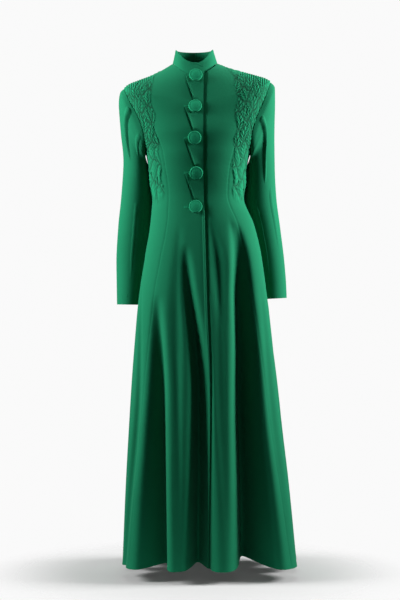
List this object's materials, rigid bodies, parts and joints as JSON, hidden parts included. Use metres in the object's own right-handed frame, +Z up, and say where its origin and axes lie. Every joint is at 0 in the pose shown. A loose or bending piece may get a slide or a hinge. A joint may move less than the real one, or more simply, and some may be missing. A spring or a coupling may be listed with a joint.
{
  "type": "evening coat",
  "caption": "Full-length princess line evening coat in green wool crepe, with a stand collar, corded shoulders, covered buttons, pointed front flaps and long sleeves, in its worn shape",
  "frame": {"origin": "between the shoulders at the base of the neck, where a wearer or a stand holds the coat up", "axes": "+Z up through the open collar, -Y out of the coat's front, +X to the wearer's left"},
  "size_m": [0.5227, 0.4628, 1.4706],
  "materials": {
    "green_wool": "matte wool crepe",
    "covered_button": "the same wool crepe, stretched over a domed form"
  },
  "bodies": {
    "root": {"front_right": "green_wool", "front_left": "green_wool", "side_front_right": "green_wool", "side_front_left": "green_wool", "side_back_right": "green_wool", "side_back_left": "green_wool", "back_right": "green_wool", "back_left": "green_wool", "sleeve_upper_right": "green_wool", "sleeve_upper_left": "green_wool", "sleeve_under_right": "green_wool", "sleeve_under_left": "green_wool", "collar": "green_wool", "flap_1": "green_wool", "flap_2": "green_wool", "flap_3": "green_wool", "flap_4": "green_wool", "button_1": "covered_button", "button_2": "covered_button", "button_3": "covered_button", "button_4": "covered_button", "button_5": "covered_button"}
  },
  "joints": []
}
